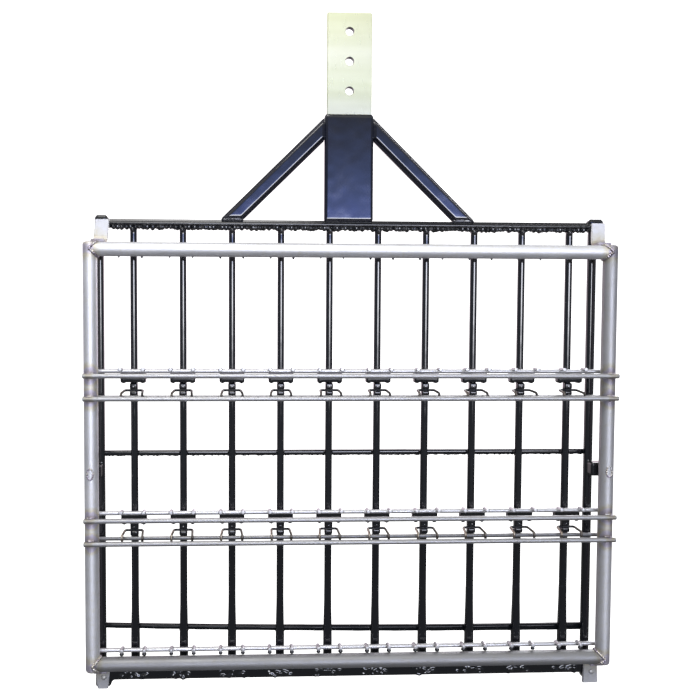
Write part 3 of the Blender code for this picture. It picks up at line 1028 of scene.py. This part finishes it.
def make_tabs(material):
    """The bent corner straps that join the bright frame to the coated ears."""
    for node in TABS:
        way = 1 if "top" in node else -1
        low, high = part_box(node)
        front = high.y - TAB_THICK
        meet = low.z if way > 0 else high.z
        end = high.z if way > 0 else low.z
        outline = tab_outline(high.y, front, low.y, meet, end, way)
        shape = bmesh.new()
        points = [(low.x, y, z) for y, z in outline]
        add_prism(shape, points, (high.x - low.x, 0, 0), 0.7 * MM, 3)
        centre = middle(node, 0)
        for vert in shape.verts:
            share = min(max((vert.co.z - meet) / (end - meet), 0), 1)
            vert.co.x = bent_x(node, vert.co.x, centre, share)
        if way < 0:
            bolt = (centre + 1 * MM, front, end + BOLT_RISE)
            add_bead(shape, bolt, 3.0 * MM, (1, 0.5, 1), 3)
        make_steel_part(shape, node, material, 50)


# -------- the contacts

# How worn the left and right legs of the wires are on each level
WEAR = {"upper": (0.30, 0.10), "lower": (0.95, 0.30)}


def contact_path(draw):
    """The bent wire about its joint: a level run, two legs forward and two tips down."""
    halves = []
    for side in SIDES:
        half = WIRE_HALF + draw.uniform(-0.7, 0.4) * MM
        spread = WIRE_SPREAD + draw.uniform(-0.8, 0.6) * MM
        fall = WIRE_FALL - draw.uniform(0.0, 1.0) * MM
        knee = Vector((side * spread, draw.uniform(0, 0.8) * MM - WIRE_REACH, -fall))
        tip = knee + Vector((side * draw.uniform(-0.5, 0.6) * MM, 0, fall - WIRE_DEPTH))
        halves.append([Vector((side * half, 0, 0)), knee, tip])
    return rounded_path([*reversed(halves[0]), *halves[1]], WIRE_BEND)


def make_contacts(material):
    """The twenty wires, each riding on its own body."""
    draw = random.Random(21)
    for level in LEVELS:
        for index in range(1, 11):
            body = f"contact_{level}_{index:02d}"
            name = f"wire_{level}_{index:02d}"
            shape = bmesh.new()
            path = [joints[body] + point for point in contact_path(draw)]
            add_wire(shape, path, WIRE_RADIUS)
            mesh = smooth_mesh(shape, name)
            store_wear(mesh, joints[body], *WEAR[level])
            make_object(name, mesh, material, (body,), body)


def store_wear(mesh, origin, left, right):
    """Marks the forward legs of a wire as worn bare, by an amount for each leg; the level run
    and the tips stay black."""
    wear = mesh.attributes.new("wear", "FLOAT", "POINT")
    for vert, entry in zip(mesh.vertices, wear.data):
        local = vert.co - origin
        forward = min(max((-local.y - 1.5 * MM) / (4 * MM), 0), 1)
        above = min(max((local.z + 6.5 * MM) / (2.5 * MM), 0), 1)
        amount = left if local.x < 0 else right
        entry.value = amount * forward * above


# -------- small welds, drops and rivets

PLUG_STEPS = 14
PLUG_HALF_WIDTH = 3.2 * MM
PLUG_HALF_HEIGHT = 6 * MM


def add_crossing_weld(shape, spot, way, draw):
    """A row of ripples above or below a rod, round the front of the tube that it crosses."""
    for step in range(-2, 3):
        x = spot.x + step * 1.6 * MM
        sink = tube_radius - math.sqrt(tube_radius**2 - (x - spot.x) ** 2)
        z = spot.z + way * draw.uniform(2.2, 2.9) * MM
        add_bead(shape, (x, tube_front + sink, z), draw.uniform(0.9, 1.5) * MM)


def add_plug_weld(shape, x):
    """An oval of ripples on the front of an upright tube, over the lug behind it."""
    for step in range(PLUG_STEPS):
        turn = 2 * math.pi * step / PLUG_STEPS
        across = PLUG_HALF_WIDTH * math.cos(turn)
        above = PLUG_HALF_HEIGHT * math.sin(turn)
        add_bead(shape, (x + across, tube_front + 0.6 * MM, LUG_Z + above), 1.3 * MM)


def make_crossing_welds(material):
    """The small welds that hold the rods to the upright tubes, and the plug weld over each lug."""
    shape = bmesh.new()
    draw = random.Random(9)
    for spot in crossings:
        for way in (-1, 1):
            add_crossing_weld(shape, spot, way, draw)
    for x in side_x.values():
        add_plug_weld(shape, x)
    mesh = dipped(shape, "crossing_welds", 0.4 * MM, 1, 0.05 * MM, 0.0)
    make_object("crossing_welds", mesh, material)


def make_drops(material):
    """Drops of coating under the top tube, and under the pegs of the lowest guide."""
    shape = bmesh.new()
    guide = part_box("bottom_guide")[0]
    draw = random.Random(13)
    for x in peg_places():
        drop = (x, tube_y, top_z - tube_radius - 0.3 * MM)
        add_bead(shape, drop, draw.uniform(0.8, 1.5) * MM, (1, 1, 1.3))
        pad = (x, guide.y + 3.0 * MM, guide.z + 0.6 * MM)
        add_bead(shape, pad, draw.uniform(2.4, 2.9) * MM, (1.0, 0.8, 0.8))
    mesh = smooth_mesh(shape, "coating_drops")
    make_object("coating_drops", mesh, material)


def make_rivets(material):
    """The bright rivet over each wire seat."""
    shape = bmesh.new()
    for level in LEVELS:
        for x in bar_x.values():
            spot = (x, wire_y - 1.4 * MM, wire_z[level] + 4.4 * MM)
            add_bead(shape, spot, 1.4 * MM, (1, 0.6, 1), 3)
    mesh = smooth_mesh(shape, "seat_rivets")
    make_object("seat_rivets", mesh, material)


# -------- setting


def make_world():
    """A studio: a bright window band in front at eye level, dim below it; plain to the camera."""
    world = bpy.data.worlds.new("surroundings")
    bpy.context.scene.world = world
    world.use_nodes = True
    tree = world.node_tree
    tree.nodes.clear()
    place = add(tree, "ShaderNodeTexCoord").outputs["Generated"]
    height = remap(tree, height_of(tree, place), -1, 1, 0, 1)
    band = ramp(tree, height, SKY_STOPS)
    centre = (math.sin(WINDOW_AZIMUTH), -math.cos(WINDOW_AZIMUTH), 0)
    facing = compare(tree, "DOT_PRODUCT", place, centre)
    within = remap(tree, facing, *WINDOW_EDGES, 0, 1)
    lit = mix(tree, within, grey(0.0), ramp(tree, height, WINDOW_STOPS))
    sky = add(tree, "ShaderNodeBackground", {"Color": band, "Strength": SKY_STRENGTH})
    glow = add(tree, "ShaderNodeBackground", {"Color": lit, "Strength": WINDOW_STRENGTH})
    both = add(tree, "ShaderNodeAddShader", {0: sky.outputs[0], 1: glow.outputs[0]})
    plain = add(tree, "ShaderNodeBackground", {"Color": (1, 1, 1, 1), "Strength": 1.0})
    path = add(tree, "ShaderNodeLightPath").outputs["Is Camera Ray"]
    choice = {0: path, 1: both.outputs[0], 2: plain.outputs[0]}
    seen = add(tree, "ShaderNodeMixShader", choice)
    add(tree, "ShaderNodeOutputWorld", {"Surface": seen.outputs[0]})


def sky_ramp(strength, *entries):
    """Ramp marks from (elevation in degrees, brightness) pairs, scaled down by the strength."""
    marks = []
    for degrees, bright in entries:
        place = (math.sin(math.radians(degrees)) + 1) / 2
        marks.append((place, tuple(channel / strength for channel in bright)))
    return marks


SKY_STRENGTH = 2.0
SKY_STOPS = sky_ramp(
    SKY_STRENGTH,
    (-60, (0.32, 0.32, 0.32)),
    (-25, (0.24, 0.24, 0.24)),
    (-6, (0.22, 0.23, 0.25)),
    (4, (0.25, 0.27, 0.32)),
    (14, (0.16, 0.18, 0.24)),
    (18, (0.30, 0.32, 0.34)),
    (22, (1.00, 0.99, 0.93)),
    (40, (0.48, 0.48, 0.47)),
    (80, (0.36, 0.36, 0.36)),
)

# The window: its turn to the right of the front, and its soft edges, as cosines of the angle off
WINDOW_AZIMUTH = math.radians(9)
WINDOW_EDGES = (0.94, 0.98)
WINDOW_STRENGTH = 16.0
WINDOW_STOPS = sky_ramp(
    WINDOW_STRENGTH,
    (-6, (0.0, 0.0, 0.0)),
    (-3, (2.5, 2.5, 2.7)),
    (0, (8.0, 8.1, 8.6)),
    (3, (14.0, 14.2, 15.0)),
    (6.5, (13.0, 13.4, 15.5)),
    (8.5, (3.6, 4.4, 8.0)),
    (9.5, (1.0, 1.4, 4.0)),
    (12, (0.7, 1.0, 2.4)),
    (14.5, (0.5, 0.7, 1.5)),
    (17, (0.3, 0.4, 0.8)),
    (19, (0.0, 0.0, 0.0)),
)

STAGE_FLOOR, STAGE_TOP = -1.4, 3.0
STAGE_FRONT, STAGE_BACK = -3.0, 2.6
STAGE_HALF = 5.0
STAGE_BEND = 0.8
BEND_ROWS = 8
STAGE_WHITE = 1.6
FLOOR_REFLECTED = 0.15
WALL_TINTS = ((0.98, 0.82, 0.92), (1.12, 0.96, 1.06))


def stage_mesh():
    """A floor that turns up into a wall on an arc."""
    profile = [(STAGE_FRONT, STAGE_FLOOR)]
    for step in range(BEND_ROWS + 1):
        turn = math.pi / 2 * step / BEND_ROWS
        y = STAGE_BACK - STAGE_BEND + STAGE_BEND * math.sin(turn)
        profile.append((y, STAGE_FLOOR + STAGE_BEND * (1 - math.cos(turn))))
    profile.append((STAGE_BACK, STAGE_TOP))
    shape = bmesh.new()
    rows = [[shape.verts.new((x, y, z)) for x in (-STAGE_HALF, STAGE_HALF)] for y, z in profile]
    for low, high in zip(rows, rows[1:]):
        shape.faces.new((low[0], low[1], high[1], high[0]))
    mesh = bpy.data.meshes.new("stage_sheet")
    shape.to_mesh(mesh)
    shape.free()
    mesh.shade_smooth()
    return mesh


def stage_material():
    """Plain white when seen by the camera; in reflections a mauve wall over a dark floor."""
    made, tree, shader = start_material("stage_white")
    tree.nodes.remove(shader)
    place = object_place(tree)
    rise = remap(tree, height_of(tree, place), STAGE_FLOOR + 0.1, STAGE_FLOOR + 0.9, 0, 1)
    grain = noise_of(tree, place, 1.5)
    wall = mix(tree, grain, *WALL_TINTS)
    reflected = mix(tree, rise, grey(FLOOR_REFLECTED), wall)
    path = add(tree, "ShaderNodeLightPath").outputs["Is Camera Ray"]
    colour = mix(tree, path, reflected, grey(STAGE_WHITE))
    glow = add(tree, "ShaderNodeEmission", {"Color": colour, "Strength": 1.0})
    feed(tree, tree.nodes["Material Output"], {"Surface": glow.outputs[0]})
    return made


def make_stage():
    """A sheet below and behind the rack."""
    mesh = stage_mesh()
    mesh.materials.append(stage_material())
    place_object("stage_sheet", mesh)


def make_light(name, place, target, size, power, colour):
    """A round soft lamp at a place, aimed at a target; `power` is in watts."""
    lamp = bpy.data.lights.new(name, "AREA")
    lamp.shape = "DISK"
    lamp.size = size
    lamp.energy = power
    lamp.color = colour
    made = place_object(name, lamp)
    made.location = place
    aim = Vector(target) - Vector(place)
    made.rotation_euler = aim.to_track_quat("-Z", "Y").to_euler()


KEY_PLACE, KEY_TARGET = (-0.3, -1.2, 1.3), (-0.15, 0, -0.25)
REAR_PLACE, REAR_TARGET = (1.4, 1.8, 0.9), (0, 0, -0.4)
KEY_COLOUR, REAR_COLOUR = (1.0, 0.99, 0.97), (0.96, 0.98, 1.0)

CAMERA_PLACE = (-0.1210, -0.7947, -0.3302)
CAMERA_TURN = (0.0376, 0.0377, 0.0022)
FOCAL_LENGTH = 35.33
FILM_WIDTH = 36
LENS_SHIFT = (0.1162, 0.0188)


def make_camera():
    """The camera, close in front and left of the middle, turned a little right and down."""
    lens = bpy.data.cameras.new("camera")
    lens.lens = FOCAL_LENGTH
    lens.sensor_width = FILM_WIDTH
    lens.shift_x, lens.shift_y = LENS_SHIFT
    made = place_object("camera", lens)
    yaw, pitch, roll = CAMERA_TURN
    turn = (
        Matrix.Rotation(-yaw, 4, "Z")
        @ Matrix.Rotation(math.pi / 2 - pitch, 4, "X")
        @ Matrix.Rotation(roll, 4, "Z")
    )
    made.matrix_world = Matrix.Translation(CAMERA_PLACE) @ turn
    bpy.context.scene.camera = made
    bpy.context.scene.view_settings.view_transform = "Standard"


def make_setting():
    """The camera, the surroundings, the stage and two lamps."""
    make_camera()
    make_world()
    make_stage()
    make_light("key", KEY_PLACE, KEY_TARGET, size=1.0, power=20, colour=KEY_COLOUR)
    make_light("rear", REAR_PLACE, REAR_TARGET, size=1.6, power=30, colour=REAR_COLOUR)


def make_coated_frame():
    """The strap, and everything that was dipped."""
    coating = coating_material("plastisol", *COATING_TONES, SHINE)
    sleeve = coating_material("sleeve_plastisol", *SLEEVE_TONES, SHINE)
    shaded = coating_material("shaded_plastisol", *SHADED_TONES, SHADED_SHINE)
    make_strap(strap_material())
    make_crown(sleeve)
    make_coated_top_rail(coating)
    draw = random.Random(7)
    for name in BARS:
        make_coated_bar(name, coating, draw)
    for name in ("side_bar_left", "side_bar_right"):
        make_coated_side(name, coating)
    draw = random.Random(5)
    make_middle_rail(coating, draw)
    # The lower rail takes the painted-shade copy of the coating
    make_lower_rail(shaded)
    make_bottom_rail(coating, draw)
    make_drops(coating)


# How far heat tint reaches from the welds of each kind of part
TUBE_TINT, ROD_TINT, TAB_TINT = 16 * MM, 9 * MM, 32 * MM


def make_bright_frame():
    """The tubes, rods, guides and tabs, with their welds. Each part's steel is drawn along it,
    is tinted round its own welds, and carries painted light and shade that runs with height."""
    level, upright = (0.02, 1, 1), (1, 1, 0.02)
    corners = [(x, tube_y, z) for x in side_x.values() for z in (top_z, bottom_z)]
    joined = [*corners, *crossings]
    # Painted light and shade: the level tubes' grey runs from dark at the bottom tube to light at the top one, and
    # the left and right tubes take lit and shaded copies of one steel
    make_tubes(
        steel_material("level_tube_steel", (0.34, 0.97), corners, TUBE_TINT, level),
        steel_material("lit_left_steel", (0.84, 0.92), joined, TUBE_TINT, upright),
        steel_material("shaded_right_steel", (0.74, 0.48), joined, TUBE_TINT, upright),
    )
    weld = weld_material()
    make_corner_welds(weld)
    # The rods, guides and tabs are painted darker low on the rack and lighter high up: painted shade
    rod = steel_material("rod_steel", (0.36, 0.64), crossings, ROD_TINT, level, (0.42, 0.52))
    make_rods(rod)
    make_guides(steel_material("guide_steel", (0.66, 0.74), (), ROD_TINT, level, (0.40, 0.50)))
    make_tabs(steel_material("tab_steel", (0.60, 0.72), corners, TAB_TINT, upright))
    make_rivets(rod)
    make_crossing_welds(weld)


make_setting()
make_coated_frame()
make_bright_frame()
make_contacts(wire_material())
